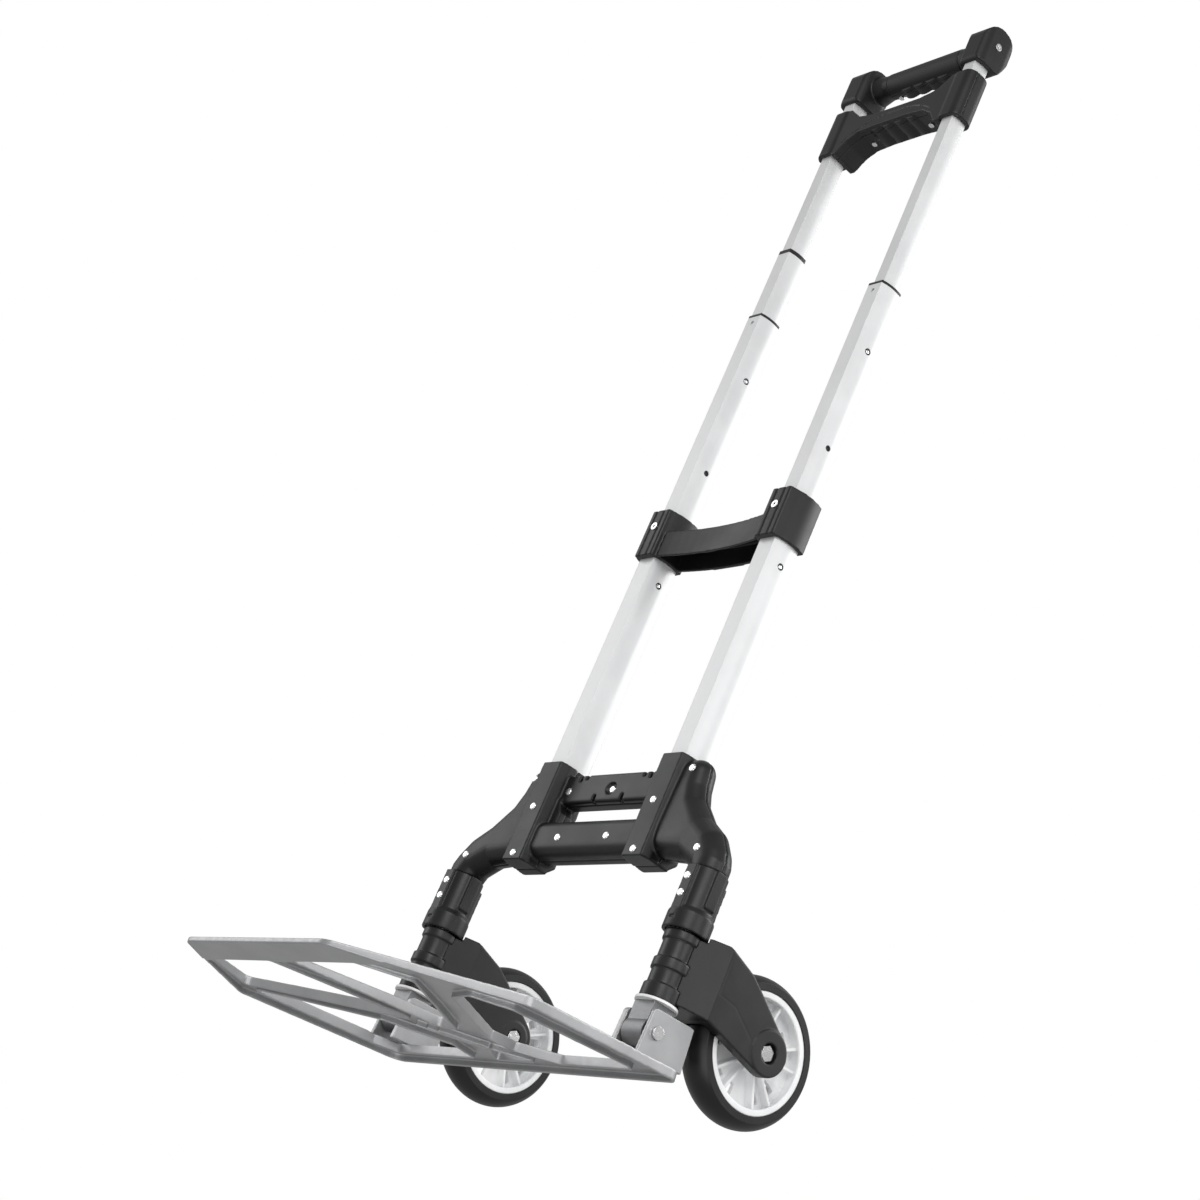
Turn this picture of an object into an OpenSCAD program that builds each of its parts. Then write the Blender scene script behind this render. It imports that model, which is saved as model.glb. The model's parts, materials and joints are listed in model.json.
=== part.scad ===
// Folding hand truck: telescoping frame, fold-up toe plate, wheels that swing in.
// Lengths in millimetres. X is the width, -Y the toe plate's side, +Z up.
// The frame leans back a little, so its parts are drawn upright and leaned as one.

/* [Frame] */
// distance between the two tube centre lines
tube_spacing = 150; // [125:1:180]
// distance between the two leg centre lines
leg_spacing = 302; // [280:1:365]
// how far the frame leans back from the vertical, in degrees
lean = 5; // [3:0.5:7]
// height of the handle's top, along the tubes
frame_height = 1013; // [845:1:1215]

/* [Tubes] */
// depth of the lowest tube, front to back
tube_depth = 25.2; // [22:0.1:30.5]
// widest width of the lowest tube
tube_width = 25.2; // [22:0.1:30.5]
// wall of every tube
tube_wall = 1.2; // [1:0.1:1.25]
// gap between one tube and the next
tube_gap = 0.3; // [0.25:0.05:0.35]

/* [Toe plate] */
// width of the toe plate at its widest
plate_w = 372; // [355:1:400]
// distance from the tubes to the plate's front lip
plate_front = 237; // [200:1:285]
// height of the plate at its rear
plate_h = 8; // [6.6:0.1:9.6]
// height of the plate at its front lip
lip_h = 4; // [3:0.1:5]

/* [Wheels] */
// radius of the tyre
tyre_r = 57; // [47.5:0.5:57.5]
// width of the tyre
tyre_w = 28; // [24:0.5:28.5]
// distance the wheel trails behind its leg
trail = 93; // [88:0.5:93.5]
// radius of the axle bolt
axle_r = 4; // [3.3:0.1:4.8]

/* [Handle] */
// radius of the grip bar
grip_r = 12; // [10:0.1:13]
// height of the release bar's sleeves
sleeve_h = 51; // [43:1:60]

/* [Output] */
// which sub-part to draw

/* [Hidden] */
$fn = 72;
fit = 0.05;          // running clearance of every turning joint
slip = 0.3;          // gap between faces that slide past one another
tube_x = tube_spacing/2;
leg_x = leg_spacing/2;
tyre_half = tyre_w/2;
ground = 5;          // height of the frame's own zero above the floor
axle_z = (tyre_r + trail*sin(lean) - ground)/cos(lean);
wheel_back = trail*cos(lean) + axle_z*sin(lean) + tyre_r;
mid_y = (plate_front - wheel_back)/2;
// tube section: two arcs, a flat front and a flat back
front_y = tube_depth/2 - 0.1;
back_y = tube_depth/2 + 0.1;
side_r = 34.3;
side_c = side_r - tube_width/2;
side_y = 3;
step = tube_wall + tube_gap;
post_r = 8;
box_bot = 165;
box_top = 255;
front_w = 23;        // flat front of each tube box
box_w = tube_width + 3.4;
box_front = tube_depth/2 + 4.8;
box_back = tube_depth/2 + 4.4;
lower_len = frame_height/3;      // each stage's length follows the handle's height
mid_top = box_bot + lower_len;
mid_bot = mid_top - 46;
two_top = mid_top + 0.425*(frame_height - mid_top);
three_top = two_top + 0.147*(frame_height - mid_top);
two_len = 0.89*lower_len;
three_len = 0.97*lower_len;
grip_z = frame_height - 17;
grip_y = 10;
release_top = frame_height - 57;
release_bot = release_top - sleeve_h;
travel = release_bot - mid_top - 17;   // how far the handle slides down
pivot_y = -2.3;
pivot_z = 28.3;
cheek_in = tyre_half + 0.8;      // inside face of each fork cheek
cheek_out = cheek_in + 9.2;      // outside face of the outer cheek
cheek_thin = cheek_in + 3.8;     // outside face of the inner cheek
hub_half = tyre_half - 1.8;
plate_tilt = 1.5;    // the plate runs down towards its lip
plate_back = 28;
band = 33;           // depth of the solid front band
skin = 2.2;          // sheet thickness of the plate

black = [0.10, 0.10, 0.11];
metal = [0.86, 0.87, 0.88];
bright = [0.93, 0.93, 0.94];
grey = [0.62, 0.63, 0.65];
white = [0.92, 0.92, 0.90];

// ---------- helpers ----------

// leans a part drawn along the tubes and sets it on the floor
module leaned() translate([0, mid_y, ground]) rotate([-lean, 0, 0]) children();

// puts a part drawn for the right side on either side
module side(s) mirror([s < 0 ? 1 : 0, 0, 0]) children();

// tube section, shrunk by d on every face
module tube_2d(d = 0) intersection() {
  translate([side_c, side_y]) circle(side_r - d);
  translate([-side_c, side_y]) circle(side_r - d);
  translate([-30, -front_y + d]) square([60, front_y + back_y - 2*d]);
}

module tube(stage, z0, z1) translate([0, 0, z0]) linear_extrude(z1 - z0) difference() {
  tube_2d(stage*step);
  tube_2d(stage*step + tube_wall);
}

// a sleeve of the given wall round tube section d
module sleeve(d, wall, z0, z1, gap = 0) translate([0, 0, z0]) linear_extrude(z1 - z0) difference() {
  tube_2d(d - wall);
  tube_2d(d - gap);
}

// rod along X from x0 to x1
module xrod(r, x0, x1) translate([x0, 0, 0]) rotate([0, 90, 0]) cylinder(r = r, h = x1 - x0);

// rod along Y from y0 to y1
module yrod(r, y0, y1) translate([0, y0, 0]) rotate([-90, 0, 0]) cylinder(r = r, h = y1 - y0);

// rounded rectangle
module soft(w, h, r) offset(r = r) square([w - 2*r, h - 2*r], center = true);

// rivet on a front face at y, head towards -Y
module front_rivet(x, y, z, depth = 9) translate([x, y, z]) {
  translate([0, -1, 0]) rotate([-90, 0, 0]) cylinder(r1 = 2.6, r2 = 3.5, h = 1);
  yrod(1.9, 0, depth);
}

// side outline in the Y-Z plane, drawn out along X
module side_plate(x0, x1) translate([x0, 0, 0]) rotate([90, 0, 90]) linear_extrude(x1 - x0) children();

// ---------- yoke ----------

module ball(x, z, r) translate([x, 0, z]) sphere(r = r, $fn = 32);

// wing contour: outer and inner centres as shares of the way from tube to leg
wing_outer = [[0.27, 243, 12], [0.30, 228, 12.6], [0.38, 212, 13.2], [0.63, 192, 13.8],
  [0.86, 180, 14.2], [0.975, 168, 14.4]];
wing_inner = [[0.10, 243, 12], [0.10, 228, 12.6], [0.12, 205, 13.2], [0.24, 184, 13.8],
  [0.60, 183, 14.2], [0.90, 174, 14.4]];

module wing_ball(c) ball(tube_x + c[0]*(leg_x - tube_x), c[1], c[2]);

module wing() {
  for (i = [0:4]) hull() {
    wing_ball(wing_outer[i]);
    wing_ball(wing_outer[i + 1]);
    wing_ball(wing_inner[i]);
    wing_ball(wing_inner[i + 1]);
  }
  hull() {
    wing_ball(wing_outer[5]);
    wing_ball(wing_inner[5]);
    translate([leg_x, 0, 157]) cylinder(r = 14.5, h = 8, $fn = 32);
  }
}

module box_2d() hull() {
  translate([0, -box_front + 1]) square([front_w, 2], center = true);
  translate([0, -box_front/2]) square([box_w, 1], center = true);
  translate([0, box_back - 3.5]) square([box_w, 7], center = true);
}

module tube_box() translate([tube_x, 0, box_bot]) difference() {
  linear_extrude(box_top - box_bot) box_2d();
  translate([-20, 12, -1]) rotate([45, 0, 0]) translate([0, 0, -9]) cube([40, 20, 12]);
}

module yoke_body() difference() {
  union() {
    for (s = [-1, 1]) side(s) { tube_box(); wing(); }
    // lower bar
    translate([0, 0, 187]) rotate([90, 0, 90]) linear_extrude(2*tube_x - 10, center = true)
      soft(27.6, 31, 9);
    // upper bar, set back from the front
    translate([0, 2.5, 234.5]) rotate([90, 0, 90]) linear_extrude(2*tube_x - 10, center = true)
      soft(17, 26, 3);
    // webs beside the hand slot
    for (s = [-1, 1]) side(s) translate([tube_x - 24, 0, 201.5]) rotate([90, 0, 0])
      linear_extrude(14, center = true) polygon([[0, 0], [14, 0], [14, 24], [6, 24], [6, 20], [0, 11]]);
  }
  // pockets for the lower tubes
  for (s = [-1, 1]) side(s) translate([tube_x, 0, box_bot + 4]) linear_extrude(200) tube_2d(-fit);
  // flat seats on the leg sockets
  for (s = [-1, 1]) side(s) translate([leg_x, 0, 100]) cylinder(r = 24, h = 57);
  // centre recess and notches of the upper bar
  translate([0, -6.5, 233]) yrod(5.5, 0, 3);
  for (s = [-1, 1]) side(s) {
    translate([34, -7, 242.5]) cube([3.5, 5, 6]);
    translate([15.5, -7, 220]) cube([3.5, 5, 8]);
    translate([42, -7, 240.5]) cube([3, 5, 8]);
  }
}

module yoke_front_shell() color(black) leaned() intersection() {
  yoke_body();
  translate([-300, -60, 100]) cube([600, 60, 200]);
}

module yoke_back_shell() color(black) leaned() intersection() {
  yoke_body();
  translate([-300, 0, 100]) cube([600, 60, 200]);
}

module yoke_rivets() color(bright) leaned() {
  for (s = [-1, 1]) side(s) {
    front_rivet(tube_x, -box_front, 213, 4);
    front_rivet(tube_x, -box_front, 170.5, 4);
    front_rivet(tube_x + 23, -11.6, 243, 6);
    front_rivet(leg_x - 7, -14.2, 172, 5);
    front_rivet(30.3, -13.8, 185);
  }
  front_rivet(0, -3.6, 233, 6);
  front_rivet(-tube_x + 22, -6, 232, 6);
}

// ---------- legs ----------

module leg_socket() translate([leg_x, 0, 0]) difference() {
  union() {
    translate([0, 0, 120]) cylinder(r = 15.6, h = 37);
    translate([0, 0, 106.5]) cylinder(r = 17.8, h = 14);
    translate([0, 0, 120.5]) cylinder(r1 = 17.8, r2 = 15.6, h = 4);
    // front strip
    translate([-5.5, -17.2, 120.5]) cube([11, 12, 36.5]);
    // side panels
    translate([10, -5, 127]) cube([6.8, 10, 30]);
    translate([-16.8, -5, 127]) cube([6.8, 10, 30]);
    // rear spine
    translate([-5, 8, 106.5]) cube([10, 9.6, 46]);
  }
  // bore for the post
  translate([0, 0, 100]) cylinder(r = post_r, h = 70);
  // seat for the fork sleeve's top ring
  translate([0, 0, 106]) cylinder(r = 15, h = 3);
  // small drain slot
  translate([-3, -18.5, 113]) cube([6, 2, 2]);
}

module left_leg_socket() color(black) leaned() side(-1) leg_socket();
module right_leg_socket() color(black) leaned() side(1) leg_socket();

module leg_rivets() color(bright) leaned() for (s = [-1, 1]) side(s) {
  front_rivet(leg_x - 0.8, -17.2, 147, 7);
  front_rivet(leg_x - 0.8, -17.2, 133, 7);
}

module leg_post() translate([leg_x, 0, 41]) cylinder(r = post_r, h = 131);
module left_leg_post() color(grey) leaned() side(-1) leg_post();
module right_leg_post() color(grey) leaned() side(1) leg_post();

module foot_washers() color(white) leaned() for (s = [-1, 1]) side(s) translate([leg_x, 0, 50])
  difference() {
  cylinder(r = 16.5, h = 2);
  translate([0, 0, -1]) cylinder(r = post_r, h = 4);
}

module foot_tang() translate([leg_x, 0, 0]) difference() {
  union() {
    translate([-11, -11, pivot_z]) cube([22, 22, 50 - pivot_z]);
    translate([0, pivot_y, pivot_z]) xrod(11, -11, 11);
  }
  // pivot bore and post bore
  translate([0, pivot_y, pivot_z]) xrod(3, -12, 12);
  translate([0, 0, 41]) cylinder(r = post_r, h = 20);
}

module left_foot_tang() color(grey) leaned() side(-1) foot_tang();
module right_foot_tang() color(grey) leaned() side(1) foot_tang();

module pivot_rivets() color(bright) leaned() for (s = [-1, 1]) side(s)
  translate([leg_x, pivot_y, pivot_z]) {
    xrod(3, -18.4, 16.6);
    xrod(5, 16.4, 18);
    xrod(5, -19.6, -18.2);
  }

// ---------- lower tubes and middle bracket ----------

module pin_hole(stage, z) translate([0, 1, z]) xrod(3, -20, 20);

module lower_tube() translate([tube_x, 0, 0]) difference() {
  tube(0, box_bot + 4, mid_top);
  pin_hole(0, 436);
}

module left_lower_tube() color(metal) leaned() side(-1) lower_tube();
module right_lower_tube() color(metal) leaned() side(1) lower_tube();

// bar that bows back between the two sleeves
module bow(y0, y1, sag) polygon(concat(
  [for (i = [0:12]) let (u = i/6 - 1) [u*(tube_x - 14), y0 + sag*(1 - u*u)]],
  [for (i = [12:-1:0]) let (u = i/6 - 1) [u*(tube_x - 14), y1 + sag*(1 - u*u)]]));

module middle_bracket() color(black) leaned() {
  for (s = [-1, 1]) side(s) translate([tube_x, 0, mid_bot]) linear_extrude(mid_top - mid_bot) difference() {
    union() {
      tube_2d(-3.6);
      // raised front with two grooves
      translate([0, -front_y - 2.2]) soft(23, 8, 2.5);
    }
    tube_2d(0);
    for (x = [-4.6, 4.6]) translate([x, -front_y - 6.4]) circle(1.1);
  }
  // open channel bar
  translate([0, 0, mid_bot]) {
    linear_extrude(25) bow(-14.5, -12.3, 5);
    linear_extrude(22) bow(9.8, 12, 5);
    translate([0, 0, 19.5]) linear_extrude(2.5) bow(-12.3, 9.8, 5);
  }
}

module middle_rivets() color(bright) leaned() for (s = [-1, 1]) side(s)
  translate([tube_x, -front_y - 6.2, mid_top - 17]) difference() {
    union() { translate([0, -0.9, 0]) yrod(3.6, 0, 0.9); yrod(2, 0, 4); }
    translate([0, -2, 0]) yrod(1.2, 0, 2.5);
  }

// a pair of lock pins through both sides of one stage
module lock_pins(stage, z) for (s = [-1, 1]) side(s) translate([0, 1, z]) difference() {
  xrod(3, tube_width/2 - stage*step - tube_wall - 0.1, tube_width/2 - stage*step - 0.25);
  translate([tube_width/2 - stage*step - 0.8, 0, 0]) xrod(2.2, 0, 2);
}

module lower_lock_pins() color(grey) leaned() for (s = [-1, 1]) translate([s*tube_x, 0, 0])
  lock_pins(0, 436);

// ---------- telescope ----------

module second_tube(s) translate([s*tube_x, 0, 0]) difference() {
  tube(1, two_top - two_len, two_top - 2.5);
  pin_hole(1, two_top - 68);
  translate([0, 1, two_top - 167]) xrod(2.6, -20, 20);
  translate([0, 0, two_top - 9]) yrod(2, -20, 0);
}

module left_second_tube() color(metal) leaned() second_tube(-1);
module right_second_tube() color(metal) leaned() second_tube(1);

module collar(s, stage, top, flange) translate([s*tube_x, 0, 0])
  sleeve(stage*step, 0, top - flange, top, -tube_wall);

module left_second_collar() color(black) leaned() collar(-1, 1, two_top, 2.5);
module right_second_collar() color(black) leaned() collar(1, 1, two_top, 2.5);

module left_second_pins() color(grey) leaned() translate([-tube_x, 0, 0])
  lock_pins(1, two_top - 68);
module right_second_pins() color(grey) leaned() translate([tube_x, 0, 0])
  lock_pins(1, two_top - 68);

module third_tube(s, top) translate([s*tube_x, 0, 0]) tube(2, top - three_len, top - 4);
module left_third_tube() color(metal) leaned() third_tube(-1, three_top);
module right_third_tube() color(metal) leaned() third_tube(1, two_top);
module left_third_collar() color(black) leaned() collar(-1, 2, three_top, 4);
module right_third_collar() color(black) leaned() collar(1, 2, two_top, 4);

module top_tube(s) translate([s*tube_x, 0, 0]) difference() {
  tube(3, box_bot + 8 + travel, frame_height - 14);
  // slots for the release pins
  translate([-20, -1.9, release_bot + 18]) cube([40, 3.8, 20]);
}

module left_top_tube() color(metal) leaned() top_tube(-1);
module right_top_tube() color(metal) leaned() top_tube(1);

// ---------- handle ----------

// side outline of a cap, measured down from the top
module cap_2d() offset(r = 5) offset(delta = -5) polygon(concat(
  [[-cap_front, -44], [-cap_front, -13]],
  [for (a = [170:-16:10]) [6 + 18.4*cos(a), -16 + 16*sin(a)]],
  [[24.6, -15], [24.2, -24], [16, -43], [13, -44]]));

module end_cap(s) side(s) difference() {
  union() {
    translate([0, 0, frame_height]) intersection() {
      side_plate(tube_x - cap_half, tube_x + cap_half) cap_2d();
      // rounded front and back edges
      translate([tube_x, 6, -60]) linear_extrude(80) soft(2*cap_half, 40, 10);
    }
    // neck that carries the grip
    translate([0, grip_y, grip_z]) rotate([0, -90, 0]) translate([0, 0, -tube_x + cap_half - 2])
      cylinder(r1 = 14.4, r2 = grip_r - 0.4, h = 13);
    translate([0, grip_y, grip_z]) xrod(grip_r - 0.4, grip_half, tube_x - cap_half);
  }
  // socket for the top tube
  translate([tube_x, 0, 0]) translate([0, 0, frame_height - 60]) linear_extrude(46) tube_2d(3*step);
}

cap_front = tube_depth/2 - 0.2;
cap_half = tube_width/2 + 0.6;

module left_end_cap() color(black) leaned() end_cap(-1);
module right_end_cap() color(black) leaned() end_cap(1);

module cap_rivets() color(bright) leaned() for (s = [-1, 1]) side(s)
  translate([0, 5, frame_height - 20]) difference() {
    union() {
      xrod(3.4, tube_x + cap_half, tube_x + cap_half + 1);
      xrod(1.8, tube_x + cap_half - 4, tube_x + cap_half);
    }
    xrod(1.4, tube_x + cap_half + 0.4, tube_x + cap_half + 2);
  }

grip_half = tube_x - 31;

module grip_body() translate([0, grip_y, grip_z]) difference() {
  union() {
    xrod(grip_r, -grip_half, grip_half);
    // shallow finger waves underneath
    for (i = [-1.5:1.5]) translate([i*15, 3, 0]) intersection() {
      translate([0, 0, 14 - grip_r - 1.6]) rotate([90, 0, 0]) cylinder(r = 14, h = 12, center = true);
      translate([-9, -8, -2*grip_r]) cube([18, 16, 2*grip_r - 4]);
    }
  }
  for (s = [-1, 1]) translate([s*36, 6, -grip_r - 1]) cylinder(r = 2.6, h = 4);
}

module grip_front_shell() color(black) leaned() intersection() {
  grip_body();
  translate([-100, grip_y - 40, grip_z - 40]) cube([200, 40, 80]);
}

module grip_back_shell() color(black) leaned() intersection() {
  grip_body();
  translate([-100, grip_y, grip_z - 40]) cube([200, 40, 80]);
}

module grip_screws() color(bright) leaned() for (s = [-1, 1])
  translate([s*36, grip_y + 6, grip_z - grip_r - 0.2]) difference() {
    cylinder(r = 2.6, h = 4);
    translate([-0.4, -3, -1]) cube([0.8, 6, 1.6]);
  }

// ---------- release bar ----------

// arched bar between the two sleeves, drawn as a front view
module arch(grow = 0) polygon([
  [-tube_x + 8, release_bot - 2], [-tube_x + 14, release_bot - 2], [-52, release_bot + 10],
  [-40, release_bot + 17], [-20, release_bot + 18.5], [20, release_bot + 18.5],
  [40, release_bot + 17], [52, release_bot + 10], [tube_x - 14, release_bot - 2],
  [tube_x - 8, release_bot - 2], [tube_x - 8, release_top], [tube_x - 12, release_top],
  [50, release_top - 12], [30, release_top - 16], [-30, release_top - 16],
  [-50, release_top - 12], [-tube_x + 12, release_top], [-tube_x + 8, release_top]]);

module release_solid() difference() {
  union() {
    for (s = [-1, 1]) side(s) translate([tube_x, 0.2, release_bot])
      linear_extrude(sleeve_h) soft(2*cap_half, tube_depth + 0.6, 9.5);
    intersection() {
      translate([0, 30, 0]) rotate([90, 0, 0]) linear_extrude(60) arch();
      translate([0, 3, 0]) rotate([90, 0, 90]) linear_extrude(200, center = true)
        translate([0, (release_bot + release_top)/2]) soft(29, 70, 4);
    }
    // finger ripples
    for (i = [-1.5:1.5]) translate([i*15, 4, release_bot]) intersection() {
      translate([0, 0, 30.4]) rotate([90, 0, 0]) cylinder(r = 14, h = 24, center = true);
      translate([-9, -15, 10]) cube([18, 30, 14]);
    }
  }
  for (s = [-1, 1]) side(s) translate([tube_x, 0, release_bot - 3]) linear_extrude(90)
    tube_2d(3*step - slip);
  // screw recesses
  for (s = [-1, 1]) translate([s*35.5, 8, release_bot + 10]) cylinder(r = 2.6, h = 12);
  // arched groove across the front
  translate([0, -10.6, 0]) rotate([90, 0, 0]) linear_extrude(4) polygon(concat(
    [for (x = [-58:4:50]) [x, release_bot + 28 - 19*pow(abs(x)/58, 2.6)]],
    [for (x = [50:-4:-58]) [x, release_bot + 29.3 - 19*pow(abs(x)/58, 2.6)]]));
}

// parting face between the two shells
split_y = -4;

module release_front_shell() color(black) leaned() intersection() {
  release_solid();
  translate([-200, -60 + split_y, 800]) cube([400, 60, 400]);
}

module release_back_shell() color(black) leaned() intersection() {
  release_solid();
  translate([-200, split_y, 800]) cube([400, 60, 400]);
}

module release_screws() color(bright) leaned() for (s = [-1, 1])
  translate([s*35.5, 8, release_bot + 16]) difference() {
    cylinder(r = 2.6, h = 6);
    translate([-0.4, -3, -1]) cube([0.8, 6, 1.8]);
  }

// rods inside the top tubes, hung on a pin that slides in the tube's slots
module release_rods() color(grey) leaned() for (s = [-1, 1]) side(s) translate([tube_x, 0, 0]) {
  translate([0, 0, box_bot + 20 + travel]) cylinder(r = 2.5, h = release_bot + 2 - box_bot - travel);
  translate([0, 0, release_bot + 21]) xrod(1.5, -10.5, 10.5);
}

// ---------- toe plate ----------

// the plate is drawn flat, then tilted about its front lip
module tilted() translate([0, mid_y - plate_front, 0]) rotate([plate_tilt, 0, 0])
  translate([0, plate_front, 0]) children();

module plate_outer() offset(r = 13) offset(delta = -13) polygon([[94 - plate_w/2, -plate_front],
  [plate_w/2 - 94, -plate_front], [plate_w/2, -127], [plate_w/2 - 11, plate_back],
  [11 - plate_w/2, plate_back], [-plate_w/2, -127]]);

// open windows between the rails and ribs
module plate_windows() {
  w = plate_w/2;
  f = -plate_front + band + 4;
  offset(r = 4) offset(delta = -4) {
    polygon([[76 - w, f], [-31, f], [-8, -82], [40 - w, -147]]);
    polygon([[31 - w, -126], [38 - w, -134], [-56, -78], [-30, -26], [-42, 3], [43 - w, 3],
      [36 - w, -18]]);
    polygon([[-1, f], [w - 107, f], [w - 83, -165], [23, -66], [9, -70]]);
    polygon([[w - 76, -134], [w - 50, -140], [w - 32, -114], [w - 34, -5], [w - 40, 3],
      [68, 3], [42, -22], [42, -46]]);
  }
  offset(r = 2) offset(delta = -2) polygon([[12, -22], [36, 3], [-12, 3]]);
}

module plate_outline() difference() {
  plate_outer();
  plate_windows();
}

// flat top at the rear, sloping down to the front lip
module plate_wedge(drop = 0) translate([-300, 0, 0]) rotate([90, 0, 90]) linear_extrude(600)
  polygon([[60, -1], [60, plate_h - drop - 0.4], [-24, plate_h - drop - 0.4], [-24.4, plate_h - drop],
    [-110, plate_h - drop], [-plate_front, lip_h - drop], [-plate_front - 20, lip_h - drop - 1],
    [-plate_front - 20, -1]]);

module toe_plate() color(metal) {
  tilted() difference() {
    intersection() {
      linear_extrude(40) plate_outline();
      plate_wedge();
    }
    // hollow underside behind the solid front band
    difference() {
      intersection() {
        translate([0, 0, -1]) linear_extrude(40) intersection() {
          offset(delta = -skin) plate_outline();
          translate([-300, -plate_front + band + 6]) square([600, 400]);
        }
        plate_wedge(skin);
      }
      // three ridges where the ribs cross
      for (i = [-1:1]) translate([-4 + 8*i, -40 + 5*i, 0.6]) rotate([0, 0, -30])
        translate([-1.2, -26, 0]) cube([2.4, 60, 20]);
    }
  }
  // level foot under the front band
  translate([0, mid_y, 0]) linear_extrude(1.5) intersection() {
    offset(delta = -0.6) plate_outer();
    translate([-300, -plate_front]) square([600, band]);
  }
}

// outline of an ear seen from the side, in the leaned frame
module ear_2d() difference() {
  offset(r = 4) offset(delta = -4)
    polygon([[-14, -0.6], [31, 3.4], [27, 46.5], [-12, 44]]);
  translate([pivot_y, pivot_z]) circle(3 + fit);
}

module ear(x0, x1) intersection() {
  side_plate(x0, x1) ear_2d();
  translate([0, 0, 0]) side_plate(x0 - 1, x1 + 1) square([200, 200], center = true);
}

module trimmed() difference() {
  children();
  translate([-400, -400, -50]) cube([800, 800, 50]);
}

module outer_ear() difference() {
  union() {
    ear(leg_x + 13, leg_x + 16);
    // rear lip
    side_plate(leg_x + 11.6, leg_x + 16) polygon([[28, 8], [31, 8], [27.6, 46], [24.6, 46]]);
  }
  translate([0, pivot_y, pivot_z]) xrod(3 + fit, 0, 400);
}

module left_outer_ear() color(metal) trimmed() difference() {
  leaned() side(-1) outer_ear(); plate_cut(); }
module right_outer_ear() color(metal) trimmed() difference() {
  leaned() side(1) outer_ear(); plate_cut(); }
module left_inner_ear() color(metal) trimmed() difference() {
  leaned() side(-1) ear(leg_x - 18, leg_x - 13); plate_cut(); }
module right_inner_ear() color(metal) trimmed() difference() {
  leaned() side(1) ear(leg_x - 18, leg_x - 13); plate_cut(); }

// the ears stand on the plate's top
module plate_cut() tilted() translate([-400, -400, -40]) cube([800, 800, 39.6 + plate_h]);

// ---------- forks and wheels ----------

module at_wheel() translate([leg_x, trail, axle_z]) children();

// side view of the fork: shroud, arm and hub boss
module fork_side() union() {
  polygon([[0, 54.5], [30, 54.5], [trail - 5, axle_z - 16.8], [trail + 10, axle_z + 14.4],
    [68, 96], [55, 103.5], [26, 112], [8, 110], [0, 105.4]]);
  translate([trail, axle_z]) circle(17.5);
}

// plan view of the fork round the wheel
module fork_plan() polygon([[-12.5, 0], [12.5, 0], [cheek_out, 29], [cheek_out, 140],
  [-cheek_thin, 140], [-cheek_thin, 29]]);

module fork_sleeve_solid() {
  translate([0, 0, 52.3]) cylinder(r = 13, h = 53.9);
  translate([0, 0, 99]) cylinder(r = 14.4, h = 7.2);
  translate([0, 0, 76]) cylinder(r = 14.6, h = 8);
  translate([0, 0, 52.3]) cylinder(r = 14.8, h = 11.5);
}

module fork_shroud() translate([leg_x, 0, 0]) difference() {
  union() {
    difference() {
      intersection() {
        side_plate(-60, 60) fork_side();
        linear_extrude(200) fork_plan();
      }
      // room for the wheel
      translate([-cheek_in, 36, 0]) cube([2*cheek_in, 200, 200]);
      translate([0, trail, axle_z]) xrod(tyre_r + 1.4, -cheek_in, cheek_in);
    }
    // hub bosses
    translate([0, trail, axle_z]) {
      xrod(17.2, cheek_in, cheek_out + 1);
      xrod(13, hub_half + slip, cheek_in + 1);
      xrod(13, -cheek_thin - 0.5, -hub_half - slip);
    }
  }
  fork_sleeve_solid();
  cylinder(r = 15.2, h = 54.6);
  // turns clear of the socket's collar
  translate([0, 0, 105.9]) cylinder(r = 19.4, h = 20);
  // axle hole, bolt head and nut recesses
  translate([0, trail, axle_z]) {
    xrod(axle_r, -60, 60);
    xrod(axle_r + 3.6, cheek_out - 5, 60);
    xrod(axle_r + 2.7, -60, -cheek_thin + 3);
  }
  // parting groove on the outer face
  translate([cheek_out - 0.9, 0, 0]) {
    translate([0, 31, 76]) cube([5, 0.9, 27]);
    translate([0, 31, 76]) rotate([-4, 0, 0]) cube([5, 18, 0.9]);
    translate([0, 48.8, 74.8]) rotate([-30, 0, 0]) cube([5, 30, 0.9]);
  }
}

module left_fork_shroud() color(black) leaned() side(-1) fork_shroud();
module right_fork_shroud() color(black) leaned() side(1) fork_shroud();

module fork_sleeve() translate([leg_x, 0, 0]) difference() {
  fork_sleeve_solid();
  translate([0, 0, 50]) cylinder(r = post_r + fit, h = 60);
}

module left_fork_sleeve() color(black) leaned() side(-1) fork_sleeve();
module right_fork_sleeve() color(black) leaned() side(1) fork_sleeve();

module axle_bolt() at_wheel() {
  xrod(axle_r, -cheek_thin - 0.3, cheek_out - 2);
  translate([cheek_out - 5, 0, 0]) rotate([0, 90, 0]) cylinder(r = axle_r + 2.4, h = 3.6, $fn = 6);
}

module axle_nut() at_wheel() difference() {
  translate([-cheek_thin, 0, 0]) rotate([0, 90, 0]) cylinder(r = axle_r + 2.5, h = 3, $fn = 6);
  xrod(axle_r, -60, 0);
}

module left_axle_bolt() color(bright) leaned() side(-1) axle_bolt();
module right_axle_bolt() color(bright) leaned() side(1) axle_bolt();
module left_axle_nut() color(bright) leaned() side(-1) axle_nut();
module right_axle_nut() color(bright) leaned() side(1) axle_nut();

rim_r = tyre_r - 11.5;

module spin() rotate([0, 90, 0]) rotate_extrude($fn = 96) children();

module tyre() at_wheel() spin() difference() {
  intersection() {
    translate([rim_r, -tyre_half]) square([tyre_r - rim_r, tyre_w]);
    translate([rim_r - 8, 0]) scale(1) circle(r = 19.5);
  }
}

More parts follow.
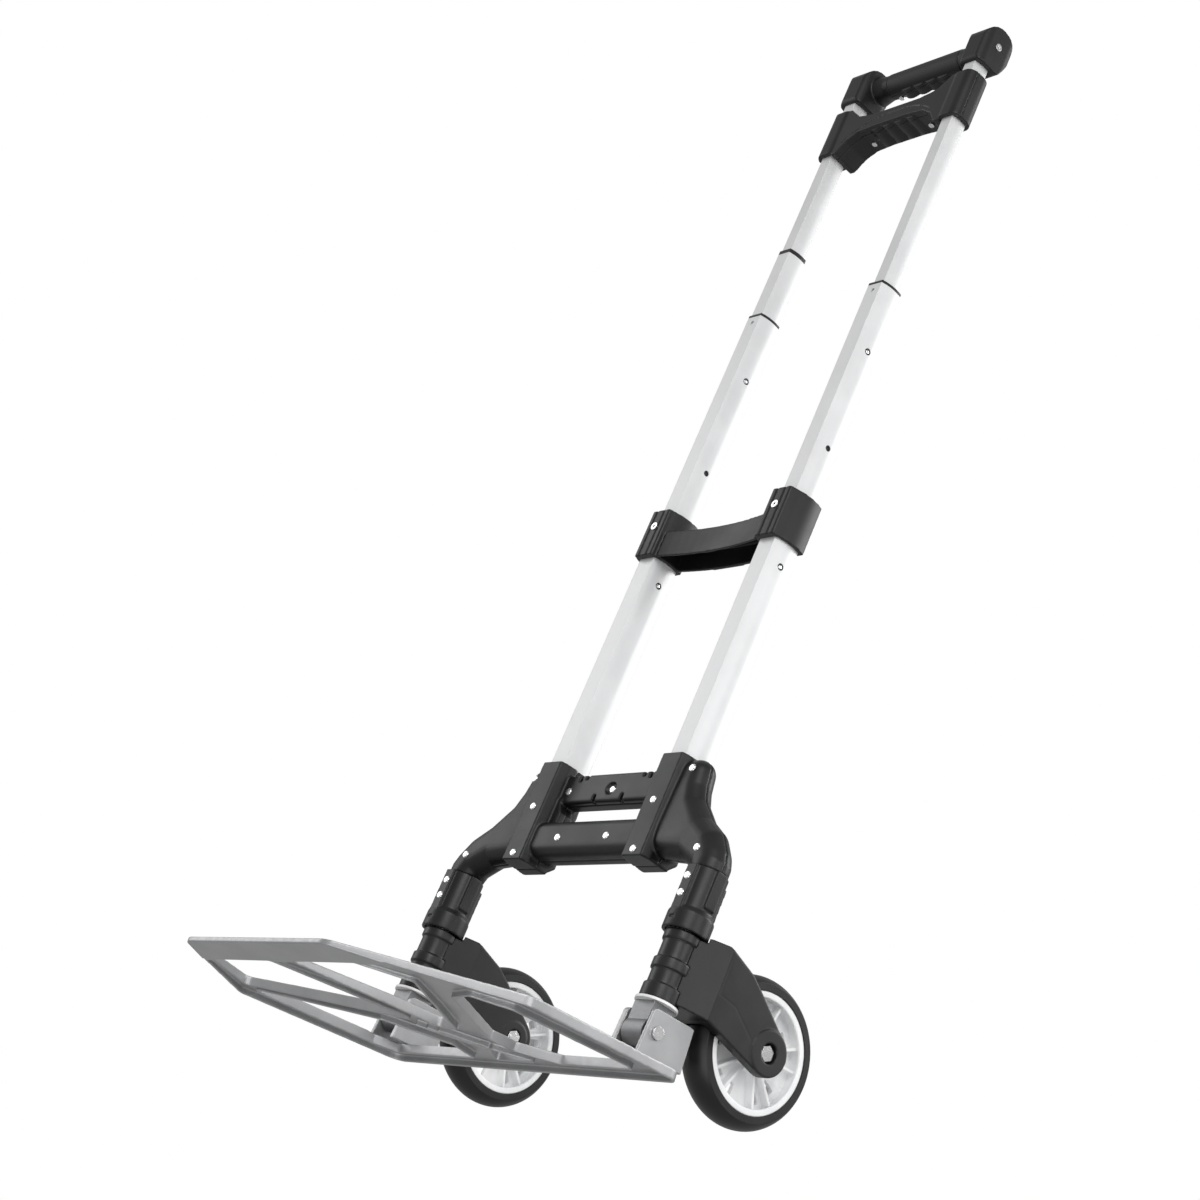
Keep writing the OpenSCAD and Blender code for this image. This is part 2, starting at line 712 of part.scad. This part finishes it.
// a window in the web, from angle a0 to a1 and radius r0 to r1
module web_window(a0, a1, r0, r1) rotate([90, 0, 90]) linear_extrude(60, center = true)
  polygon([[r0*cos(a0), r0*sin(a0)], [r1*cos(a0), r1*sin(a0)], [r1*cos(a1), r1*sin(a1)],
    [r0*cos(a1), r0*sin(a1)]]);

module rim() at_wheel() difference() {
  union() {
    difference() {
      spin() polygon([[6.52, -hub_half + 1], [13, -hub_half + 1], [13, -2], [rim_r - 3, -2],
        [rim_r - 3, -tyre_half + 4], [rim_r - 5, -tyre_half + 3], [rim_r - 5, -tyre_half + 0.6],
        [rim_r, -tyre_half + 0.6], [rim_r, tyre_half - 0.6], [rim_r - 5, tyre_half - 0.6],
        [rim_r - 5, tyre_half - 3], [rim_r - 3, tyre_half - 4], [rim_r - 3, 2], [13, 2],
        [13, hub_half - 1], [6.52, hub_half - 1]]);
      for (a = [0:72:359]) rotate([a, 0, 0]) {
        web_window(13, 23, 0.75*rim_r - 5, rim_r - 7);
        web_window(38, 50, 0.69*rim_r - 5, rim_r - 8);
      }
    }
    // a pair of ribs on each spoke
    for (a = [0:72:359], k = [-1, 1]) rotate([a + 12*k, 0, 0])
      translate([-tyre_half + 4.5, -1.2, 12]) cube([tyre_w - 9, 2.4, rim_r - 14]);
  }
}

module hub_bush() at_wheel() difference() {
  xrod(6.5, -hub_half, hub_half);
  xrod(axle_r + fit, -40, 40);
}

module left_tyre() color([0.06, 0.06, 0.06]) leaned() side(-1) tyre();
module right_tyre() color([0.06, 0.06, 0.06]) leaned() side(1) tyre();
module left_rim() color(white) leaned() side(-1) rim();
module right_rim() color(white) leaned() side(1) rim();
module left_hub_bush() color(grey) leaned() side(-1) hub_bush();
module right_hub_bush() color(grey) leaned() side(1) hub_bush();

// ---------- build ----------

yoke_front_shell();
yoke_back_shell();
yoke_rivets();
left_leg_socket();
right_leg_socket();
leg_rivets();
left_leg_post();
right_leg_post();
foot_washers();
left_foot_tang();
right_foot_tang();
pivot_rivets();
left_lower_tube();
right_lower_tube();
middle_bracket();
middle_rivets();
lower_lock_pins();
toe_plate();
left_outer_ear();
right_outer_ear();
left_inner_ear();
right_inner_ear();
left_fork_shroud();
right_fork_shroud();
left_fork_sleeve();
right_fork_sleeve();
left_axle_bolt();
right_axle_bolt();
left_axle_nut();
right_axle_nut();
left_tyre();
right_tyre();
left_rim();
right_rim();
left_hub_bush();
right_hub_bush();
left_second_tube();
right_second_tube();
left_second_collar();
right_second_collar();
left_second_pins();
right_second_pins();
left_third_tube();
right_third_tube();
left_third_collar();
right_third_collar();
left_top_tube();
right_top_tube();
left_end_cap();
right_end_cap();
cap_rivets();
grip_front_shell();
grip_back_shell();
grip_screws();
release_front_shell();
release_back_shell();
release_screws();
release_rods();
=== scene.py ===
import json
import math

import bpy
from mathutils import Matrix, Vector

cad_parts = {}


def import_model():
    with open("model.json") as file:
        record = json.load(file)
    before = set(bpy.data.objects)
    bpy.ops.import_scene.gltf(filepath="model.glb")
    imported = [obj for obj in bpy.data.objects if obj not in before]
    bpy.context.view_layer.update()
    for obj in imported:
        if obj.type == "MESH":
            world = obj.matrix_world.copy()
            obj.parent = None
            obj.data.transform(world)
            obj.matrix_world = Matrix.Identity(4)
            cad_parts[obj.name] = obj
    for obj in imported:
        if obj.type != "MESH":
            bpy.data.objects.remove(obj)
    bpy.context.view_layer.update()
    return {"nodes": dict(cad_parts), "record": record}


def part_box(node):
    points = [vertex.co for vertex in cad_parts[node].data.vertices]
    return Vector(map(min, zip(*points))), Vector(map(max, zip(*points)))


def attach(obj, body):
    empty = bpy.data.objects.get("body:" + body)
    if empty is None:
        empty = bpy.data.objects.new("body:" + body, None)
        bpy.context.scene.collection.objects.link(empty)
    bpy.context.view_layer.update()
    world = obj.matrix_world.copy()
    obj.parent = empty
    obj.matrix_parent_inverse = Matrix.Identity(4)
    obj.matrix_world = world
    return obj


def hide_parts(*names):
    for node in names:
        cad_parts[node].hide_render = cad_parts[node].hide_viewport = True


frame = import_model()
NODES = frame["nodes"]
RECORD = frame["record"]
RIDES = {node: body for body, nodes in RECORD["behaviour"]["bodies"].items() for node in nodes}

SCENE = bpy.context.scene
SCENE.view_settings.view_transform = "Standard"

# ---------- sizes, in metres unless said ----------

LEAN = math.radians(5)       # how far the tubes lean back
TUBE_X = 0.075               # from the middle to the centre of each tube
HOLE_DROP = 0.099            # from a second stage's pins down to its empty lock holes
KEEP = 0.35                  # share of the faces kept when a moulded piece is thinned
PLASTIC_EDGE = 0.0009        # width of the rubbed edges on plastic
METAL_EDGE = 0.0007          # width of the bright edges on metal
MM = 1000                    # millimetres in a metre

FLOOR_HALF = 6.0
FADE_FROM, FADE_TO = 0.55, 1.25    # distances from the origin between which the floor fades

# outlines of turned shapes: (radius, height) in mm, the height measured out of the tube's face
BUSH = [(2.95, -1.3), (2.95, -0.12), (2.85, 0.0), (2.25, 0.0), (2.1, -0.15), (2.1, -0.7)]
BUTTON = [(1.8, -0.8), (1.8, -0.3), (1.65, -0.12), (1.3, 0.0), (0.7, 0.06), (0.2, 0.08)]
PLUG = [(2.55, -1.2), (2.55, -0.3), (2.4, -0.22), (2.0, -0.22), (1.85, -0.4), (1.85, -1.0),
        (0.2, -1.0)]

# moulded and cast pieces: part of the node's name, voxel size, rounds of smoothing
MOULDED = (
    ("yoke_front_shell", 0.0008, 5), ("yoke_back_shell", 0.0010, 5), ("leg_socket", 0.0006, 4),
    ("middle_bracket", 0.0007, 4), ("fork_shroud", 0.0006, 4), ("fork_sleeve", 0.0006, 3),
    ("end_cap", 0.0006, 4), ("grip_front_shell", 0.0006, 3), ("grip_back_shell", 0.0006, 3),
    ("release_front_shell", 0.0006, 4), ("release_back_shell", 0.0006, 4), ("_rim", 0.0005, 3),
    ("toe_plate", 0.0006, 2), ("_ear", 0.0005, 4))

# lights: name, place, what it faces, width and height, watts
LIGHTS = (
    ("key", (2.4, -2.0, 1.9), (0, 0, 0.45), (1.6, 1.6), 43),
    ("side", (3.2, 0.3, 0.8), (0, 0, 0.45), (1.6, 2.4), 26),
    ("left", (-2.6, -1.6, 1.2), (0, 0, 0.45), (1.4, 2.4), 20),
    ("back", (1.2, 2.4, 1.6), (0, 0, 0.5), (1.6, 1.6), 34),
    ("under", (1.6, -1.6, -1.2), (0, 0, 0.3), (1.6, 1.6), 14))
GLOW = 0.42                  # strength of the white world as a light; the camera sees it at 1

LENS, SENSOR = 74.946, 36.0  # millimetres
CAMERA_AT = (1.527544, -1.046672, -0.347876)
CAMERA_RIGHT = (0.628083, 0.714038, 0.309293)
CAMERA_UP = (0.097389, -0.46648, 0.879154)
CAMERA_AHEAD = (-0.772028, 0.52206, 0.362528)


# ---------- shader helpers ----------

class Shader:
    """Builds one node material, a node at a time."""

    INPUTS = {"color": "Base Color", "rough": "Roughness", "metal": "Metallic",
              "specular": "Specular IOR Level"}
    # the colour sockets of a Mix node
    MIX_A, MIX_B, MIX_RESULT = 6, 7, 2

    def __init__(self, name):
        self.mat = bpy.data.materials.new(name)
        self.mat.use_nodes = True
        self.tree = self.mat.node_tree
        self.bsdf = self.tree.nodes["Principled BSDF"]
        self.out = self.tree.nodes["Material Output"]

    def node(self, kind, **settings):
        made = self.tree.nodes.new(kind)
        for key, value in settings.items():
            setattr(made, key, value)
        return made

    def link(self, a, b):
        self.tree.links.new(a, b)

    def coords(self, scale=(1, 1, 1), turn=(0, 0, 0)):
        made = self.node("ShaderNodeTexCoord")
        place = self.node("ShaderNodeMapping")
        place.inputs["Scale"].default_value = scale
        place.inputs["Rotation"].default_value = turn
        self.link(made.outputs["Object"], place.inputs["Vector"])
        return place.outputs["Vector"]

    def noise(self, vector, scale, detail=3.0, rough=0.55):
        made = self.node("ShaderNodeTexNoise")
        made.inputs["Scale"].default_value = scale
        made.inputs["Detail"].default_value = detail
        made.inputs["Roughness"].default_value = rough
        self.link(vector, made.inputs["Vector"])
        return made.outputs[0]

    def spread(self, value, low, high, out_low, out_high):
        """Maps low..high to out_low..out_high."""
        made = self.node("ShaderNodeMapRange")
        for key, number in (("From Min", low), ("From Max", high), ("To Min", out_low),
                            ("To Max", out_high)):
            made.inputs[key].default_value = number
        self.link(value, made.inputs["Value"])
        return made.outputs["Result"]

    def mix(self, factor, a, b):
        made = self.node("ShaderNodeMix", data_type="RGBA")
        for slot, value in ((self.MIX_A, a), (self.MIX_B, b)):
            if isinstance(value, tuple):
                made.inputs[slot].default_value = (*value, 1)
            else:
                self.link(value, made.inputs[slot])
        self.link(factor, made.inputs[0])
        return made.outputs[self.MIX_RESULT]

    def maths(self, kind, a, b):
        made = self.node("ShaderNodeMath", operation=kind)
        for slot, value in ((0, a), (1, b)):
            if isinstance(value, (int, float)):
                made.inputs[slot].default_value = value
            else:
                self.link(value, made.inputs[slot])
        return made.outputs[0]

    def blend(self, a, b, share):
        """Share of a plus the rest of b."""
        return self.maths("ADD", self.maths("MULTIPLY", a, share),
                          self.maths("MULTIPLY", b, 1 - share))

    def edges(self, radius):
        """0 on flat surfaces, 1 on sharp edges; also the softened normal."""
        bevel = self.node("ShaderNodeBevel", samples=4)
        bevel.inputs["Radius"].default_value = radius
        flat = self.node("ShaderNodeNewGeometry")
        dot = self.node("ShaderNodeVectorMath", operation="DOT_PRODUCT")
        self.link(bevel.outputs[0], dot.inputs[0])
        self.link(flat.outputs["Normal"], dot.inputs[1])
        away = self.maths("SUBTRACT", 1.0, dot.outputs["Value"])
        return self.spread(away, 0.004, 0.12, 0.0, 1.0), bevel.outputs[0]

    def bump(self, height, strength, distance, normal):
        made = self.node("ShaderNodeBump")
        made.inputs["Strength"].default_value = strength
        made.inputs["Distance"].default_value = distance
        self.link(height, made.inputs["Height"])
        self.link(normal, made.inputs["Normal"])
        self.link(made.outputs[0], self.bsdf.inputs["Normal"])

    def set(self, **values):
        for key, value in values.items():
            socket = self.bsdf.inputs[self.INPUTS[key]]
            if isinstance(value, (int, float)):
                socket.default_value = value
            else:
                self.link(value, socket)


def paler(tone, gain, lift):
    return tuple(min(1, c * gain + lift) for c in tone)


def plastic(name, tone, rough, grain=2600.0, edge=(0.10, 0.10, 0.105), depth=0.00004):
    """Moulded plastic: fine spark grain, slow drift in tone, paler rubbed edges."""
    s = Shader(name)
    at = s.coords()
    fine = s.noise(at, grain, 2.0, 0.6)
    slow = s.noise(at, 26.0, 4.0)
    rub = s.noise(at, 240.0, 3.0)
    wear, soft = s.edges(PLASTIC_EDGE)
    body = s.mix(s.spread(slow, 0.35, 0.7, 0, 1), tone, paler(tone, 1.5, 0.003))
    worn = s.maths("MULTIPLY", wear, s.spread(rub, 0.42, 0.72, 0.05, 0.6))
    s.set(color=s.mix(worn, body, edge), metal=0.0, specular=0.45,
          rough=s.spread(s.blend(fine, slow, 0.35), 0.3, 0.7, rough - 0.07, rough + 0.08))
    s.bump(fine, 0.35, depth, soft)
    return s.mat


def metal(name, tone, dark, rough, grain, along=(1, 1, 1), metallic=1.0, turn=(0, 0, 0)):
    """Drawn or blasted metal: grain stretched one way, faint smudges, brighter edges."""
    s = Shader(name)
    lines = s.noise(s.coords(along, turn), grain, 3.0, 0.6)
    at = s.coords()
    smudge = s.noise(at, 17.0, 5.0, 0.6)
    speck = s.noise(at, 1400.0, 2.0)
    wear, soft = s.edges(METAL_EDGE)
    body = s.mix(s.spread(smudge, 0.36, 0.68, 0, 1), dark, tone)
    body = s.mix(s.spread(lines, 0.3, 0.7, 0, 0.22), body, dark)
    s.set(color=s.mix(s.maths("MULTIPLY", wear, 0.4), body, paler(tone, 1.08, 0.02)),
          metal=metallic,
          rough=s.spread(s.blend(lines, smudge, 0.5), 0.32, 0.68, rough - 0.06, rough + 0.09))
    s.bump(s.maths("ADD", lines, s.maths("MULTIPLY", speck, 0.4)), 0.25, 0.00002, soft)
    return s.mat


BLACK = plastic("black_plastic", (0.0045, 0.0045, 0.0050), 0.40)
GRIP = plastic("grip_plastic", (0.0085, 0.0085, 0.0095), 0.5, grain=1900, depth=0.00007)
SLEEVE = plastic("sleeve_plastic", (0.007, 0.007, 0.008), 0.36)
RUBBER = plastic("tyre_rubber", (0.0042, 0.0042, 0.0045), 0.36, grain=1500,
                 edge=(0.03, 0.03, 0.03))
WHITE = plastic("rim_plastic", (0.78, 0.79, 0.80), 0.32, edge=(0.9, 0.9, 0.9))
TUBE = metal("tube_aluminium", (0.76, 0.765, 0.77), (0.69, 0.695, 0.70), 0.40, 260,
             along=(12, 12, 0.35), metallic=0.3, turn=(LEAN, 0, 0))
PLATE = metal("plate_aluminium", (0.50, 0.503, 0.51), (0.40, 0.403, 0.41), 0.40, 240,
              along=(1, 6, 1), metallic=0.8)
STEEL = metal("grey_steel", (0.62, 0.625, 0.64), (0.5, 0.505, 0.52), 0.34, 320,
              along=(1, 1, 5))
TANG = metal("tang_steel", (0.33, 0.333, 0.34), (0.22, 0.222, 0.228), 0.42, 320,
             along=(1, 1, 5), metallic=0.9)
BRIGHT = metal("bright_steel", (0.9, 0.9, 0.91), (0.78, 0.78, 0.79), 0.22, 700)
WASHER = plastic("washer_white", (0.8, 0.8, 0.79), 0.35, edge=(0.9, 0.9, 0.9))

# the first key that a node's name holds gives its finish; any other node is black
FINISH = {"tyre": RUBBER, "rim": WHITE, "toe_plate": PLATE, "_ear": PLATE,
          "foot_washers": WASHER, "tang": TANG, "leg_post": STEEL, "hub_bush": STEEL,
          "rods": STEEL, "lock_pins": STEEL, "second_pins": STEEL, "rivets": BRIGHT,
          "screws": BRIGHT, "axle": BRIGHT, "_tube": TUBE, "fork_sleeve": SLEEVE, "grip_": GRIP}


def finish_for(name):
    for key, value in FINISH.items():
        if key in name:
            return value
    return BLACK


for name, obj in NODES.items():
    obj.data.materials.clear()
    obj.data.materials.append(finish_for(name))


# ---------- moulded pieces: the CAD shape with every edge rounded in the mesh ----------

def bake(obj):
    """Applies every modifier and keeps the result as the mesh, smooth shaded."""
    bpy.context.view_layer.update()
    deps = bpy.context.evaluated_depsgraph_get()
    made = bpy.data.meshes.new_from_object(obj.evaluated_get(deps))
    obj.modifiers.clear()
    obj.data = made
    made.polygons.foreach_set("use_smooth", [True] * len(made.polygons))
    made.update()


def stands_for(obj, node, material=None):
    """Shows the piece in place of the node, on its body."""
    obj.data.materials.clear()
    obj.data.materials.append(material or finish_for(node))
    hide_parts(node)
    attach(obj, RIDES[node])


def moulded(node, voxel, rounds):
    """The node's solid, remeshed fine and relaxed so that each sharp edge becomes a fillet."""
    obj = bpy.data.objects.new(node + "_moulded", NODES[node].data.copy())
    SCENE.collection.objects.link(obj)
    fine = obj.modifiers.new("remesh", "REMESH")
    fine.mode = "VOXEL"
    fine.voxel_size = voxel
    fine.use_smooth_shade = True
    relax = obj.modifiers.new("relax", "SMOOTH")
    relax.factor, relax.iterations = 0.5, rounds
    thin = obj.modifiers.new("thin", "DECIMATE")
    thin.decimate_type = "COLLAPSE"
    thin.ratio = KEEP
    bake(obj)
    stands_for(obj, node)


for name, voxel, rounds in MOULDED:
    for node in sorted(NODES):
        if name in node:
            moulded(node, voxel, rounds)


# ---------- turned pieces ----------

def turned(name, profiles, places, sides=28):
    """One mesh of lathe-turned shapes, from outlines each with its material's number.

    A place is (point, direction): the shape's zero and the way its height runs.
    """
    points, faces, slots = [], [], []
    for at, way in places:
        turn = Vector((0, 0, 1)).rotation_difference(Vector(way)).to_matrix()
        for profile, number in profiles:
            first = len(points)
            for radius, height in profile:
                for k in range(sides):
                    a = 2 * math.pi * k / sides
                    spot = Vector((radius * math.cos(a), radius * math.sin(a), height)) / MM
                    points.append(Vector(at) + turn @ spot)
            for row in range(len(profile) - 1):
                for k in range(sides):
                    n = (k + 1) % sides
                    low, high = first + row * sides, first + (row + 1) * sides
                    faces.append((low + k, low + n, high + n, high + k))
                    slots.append(number)
            for row, flip in ((0, True), (len(profile) - 1, False)):
                ring = [first + row * sides + k for k in range(sides)]
                faces.append(tuple(reversed(ring)) if flip else tuple(ring))
                slots.append(number)
    mesh = bpy.data.meshes.new(name)
    mesh.from_pydata(points, [], faces)
    mesh.polygons.foreach_set("material_index", slots)
    mesh.polygons.foreach_set("use_smooth", [True] * len(faces))
    obj = bpy.data.objects.new(name, mesh)
    SCENE.collection.objects.link(obj)
    return obj


def islands(mesh):
    """(lowest, highest) corner of each separate shell of a mesh."""
    parent = list(range(len(mesh.vertices)))

    def root(i):
        while parent[i] != i:
            parent[i] = parent[parent[i]]
            i = parent[i]
        return i

    seen = {}
    for v in mesh.vertices:
        key = tuple(round(c, 6) for c in v.co)
        parent[v.index] = root(seen.setdefault(key, v.index))
    for edge in mesh.edges:
        parent[root(edge.vertices[0])] = root(edge.vertices[1])
    groups = {}
    for v in mesh.vertices:
        groups.setdefault(root(v.index), []).append(v.co)
    return sorted((tuple(min(c[k] for c in group) for k in range(3)),
                   tuple(max(c[k] for c in group) for k in range(3)))
                  for group in groups.values())


def halfway(low, high):
    return [(a + b) / 2 for a, b in zip(low, high)]


def spring_pins(node):
    """A bright domed button in a black bush, in place of each plain pin."""
    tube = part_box(node.replace("pins", "tube")) if "second" in node else None
    places = []
    for low, high in islands(NODES[node].data):
        middle = halfway(low, high)
        axis = halfway(*tube)[0] if tube else math.copysign(TUBE_X, middle[0])
        way = 1 if middle[0] > axis else -1
        places.append(((high[0] if way > 0 else low[0], middle[1], middle[2]), (way, 0, 0)))
    obj = turned(node + "_turned", ((BUSH, 0), (BUTTON, 1)), places)
    # clearing the materials resets which face has which, so that is kept and put back
    order = [face.material_index for face in obj.data.polygons]
    stands_for(obj, node, BLACK)
    obj.data.materials.append(BRIGHT)
    obj.data.polygons.foreach_set("material_index", order)


def lock_bushes(side):
    """Black bushes in the empty lock holes of a second stage, below its pins."""
    pin = halfway(*islands(NODES[side + "_second_pins"].data)[0])
    low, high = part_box(side + "_second_tube")
    tube_x, half = (low[0] + high[0]) / 2, (high[0] - low[0]) / 2
    y, z = pin[1] - HOLE_DROP * math.sin(LEAN), pin[2] - HOLE_DROP * math.cos(LEAN)
    holes = turned(side + "_lock_bushes", ((PLUG, 0),),
                   [((tube_x + way * half, y, z), (way, 0, 0)) for way in (-1, 1)])
    holes.data.materials.append(BLACK)
    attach(holes, side + "_second_stage")


for node in ("lower_lock_pins", "left_second_pins", "right_second_pins"):
    spring_pins(node)
for side in ("left", "right"):
    lock_bushes(side)


# ---------- studio ----------

def floor():
    """A pale floor that fades out with distance into the white background.

    It is clear seen from below, as the camera sees it. To every ray but the camera's it is clear
    from both sides, so that light passes through it.
    """
    half = FLOOR_HALF
    mesh = bpy.data.meshes.new("floor")
    mesh.from_pydata([(-half, -half, 0), (half, -half, 0), (half, half, 0), (-half, half, 0)],
                     [], [(0, 1, 2, 3)])
    obj = bpy.data.objects.new("floor", mesh)
    SCENE.collection.objects.link(obj)
    s = Shader("floor_paint")
    grain = s.noise(s.coords(), 90.0, 3.0)
    s.set(color=s.mix(grain, (0.80, 0.80, 0.80), (0.83, 0.83, 0.83)), rough=0.7, specular=0.2)
    clear = s.node("ShaderNodeBsdfTransparent")
    face = s.node("ShaderNodeNewGeometry")
    path = s.node("ShaderNodeLightPath")
    both = s.node("ShaderNodeMixShader")
    hidden = s.maths("SUBTRACT", 1.0, path.outputs["Is Camera Ray"])
    reach = s.node("ShaderNodeVectorMath", operation="LENGTH")
    s.link(s.coords(), reach.inputs[0])
    far = s.spread(reach.outputs["Value"], FADE_FROM, FADE_TO, 0.0, 1.0)
    unseen = s.maths("MAXIMUM", face.outputs["Backfacing"], hidden)
    s.link(s.maths("MAXIMUM", unseen, far), both.inputs[0])
    s.link(s.bsdf.outputs[0], both.inputs[1])
    s.link(clear.outputs[0], both.inputs[2])
    s.link(both.outputs[0], s.out.inputs["Surface"])
    mesh.materials.append(s.mat)


def area(name, at, aim, size, power):
    light = bpy.data.lights.new(name, "AREA")
    light.shape = "RECTANGLE"
    light.size, light.size_y = size
    light.energy = power
    obj = bpy.data.objects.new(name, light)
    obj.location = at
    obj.rotation_euler = (Vector(aim) - Vector(at)).to_track_quat("-Z", "Y").to_euler()
    SCENE.collection.objects.link(obj)


def world():
    """White to the camera, and a dimmer white as a light."""
    w = bpy.data.worlds.new("studio")
    SCENE.world = w
    w.use_nodes = True
    tree = w.node_tree
    light = tree.nodes["Background"]
    path = tree.nodes.new("ShaderNodeLightPath")
    seen = tree.nodes.new("ShaderNodeBackground")
    both = tree.nodes.new("ShaderNodeMixShader")
    for background, strength in ((light, GLOW), (seen, 1.0)):
        background.inputs["Color"].default_value = (1, 1, 1, 1)
        background.inputs["Strength"].default_value = strength
    tree.links.new(path.outputs["Is Camera Ray"], both.inputs[0])
    tree.links.new(light.outputs[0], both.inputs[1])
    tree.links.new(seen.outputs[0], both.inputs[2])
    tree.links.new(both.outputs[0], tree.nodes["World Output"].inputs["Surface"])


def camera():
    cam = bpy.data.cameras.new("camera")
    cam.lens = LENS
    cam.sensor_width = SENSOR
    cam.clip_start, cam.clip_end = 0.05, 30.0
    obj = bpy.data.objects.new("camera", cam)
    turn = Matrix((Vector(CAMERA_RIGHT), Vector(CAMERA_UP), -Vector(CAMERA_AHEAD)))
    obj.matrix_world = Matrix.Translation(CAMERA_AT) @ turn.transposed().to_4x4()
    SCENE.collection.objects.link(obj)
    SCENE.camera = obj


floor()
for light in LIGHTS:
    area(*light)
world()
camera()
